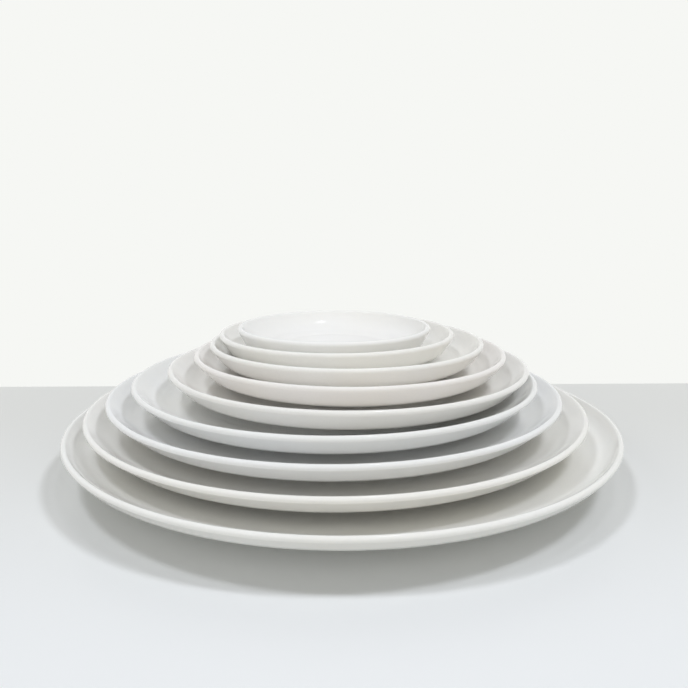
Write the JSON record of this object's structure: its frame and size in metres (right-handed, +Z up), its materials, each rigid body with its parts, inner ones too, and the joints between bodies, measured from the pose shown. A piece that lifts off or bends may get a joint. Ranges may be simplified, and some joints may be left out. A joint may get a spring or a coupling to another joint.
{
  "type": "nested melamine plate set",
  "caption": "Nested stack of round white melamine coupe plates in graduated sizes, each with a leaning lip, a rounded edge and a foot ring that rests in the plate below; every plate lifts off.",
  "frame": {"origin": "on the table, at the centre of the serving platter's foot ring, which is the centre of the whole set's box", "axes": "+Z up along the plates' axes; the picture looks along +Y, with +X to its right"},
  "size_m": [0.308, 0.308, 0.0768],
  "materials": {
    "melamine_platter": "moulded gloss, white",
    "melamine_large_dinner": "moulded gloss, faintly warm white",
    "melamine_dinner": "moulded gloss, cool white",
    "melamine_lunch": "moulded gloss, cool white",
    "melamine_salad": "moulded gloss, white",
    "melamine_dessert": "moulded gloss, faintly pink white",
    "melamine_bread": "moulded gloss, faintly warm white",
    "melamine_saucer": "moulded gloss, faintly cream white",
    "melamine_sauce_dish": "moulded gloss, bright white"
  },
  "bodies": {
    "serving_platter": {"serving_platter": "melamine_platter"},
    "large_dinner_plate": {"large_dinner_plate": "melamine_large_dinner"},
    "dinner_plate": {"dinner_plate": "melamine_dinner"},
    "lunch_plate": {"lunch_plate": "melamine_lunch"},
    "salad_plate": {"salad_plate": "melamine_salad"},
    "dessert_plate": {"dessert_plate": "melamine_dessert"},
    "bread_plate": {"bread_plate": "melamine_bread"},
    "saucer": {"saucer": "melamine_saucer"},
    "sauce_dish": {"sauce_dish": "melamine_sauce_dish"}
  },
  "joints": [
    {"name": "large_dinner_plate_lift", "type": "slide", "parent": "serving_platter", "child": "large_dinner_plate", "axis": [0, 0, 1], "range_m": [0, 0.05]},
    {"name": "dinner_plate_lift", "type": "slide", "parent": "large_dinner_plate", "child": "dinner_plate", "axis": [0, 0, 1], "range_m": [0, 0.05]},
    {"name": "lunch_plate_lift", "type": "slide", "parent": "dinner_plate", "child": "lunch_plate", "axis": [0, 0, 1], "range_m": [0, 0.05]},
    {"name": "salad_plate_lift", "type": "slide", "parent": "lunch_plate", "child": "salad_plate", "axis": [0, 0, 1], "range_m": [0, 0.05]},
    {"name": "dessert_plate_lift", "type": "slide", "parent": "salad_plate", "child": "dessert_plate", "axis": [0, 0, 1], "range_m": [0, 0.05]},
    {"name": "bread_plate_lift", "type": "slide", "parent": "dessert_plate", "child": "bread_plate", "axis": [0, 0, 1], "range_m": [0, 0.05]},
    {"name": "saucer_lift", "type": "slide", "parent": "bread_plate", "child": "saucer", "axis": [0, 0, 1], "range_m": [0, 0.05]},
    {"name": "sauce_dish_lift", "type": "slide", "parent": "saucer", "child": "sauce_dish", "axis": [0, 0, 1], "range_m": [0, 0.05]}
  ]
}
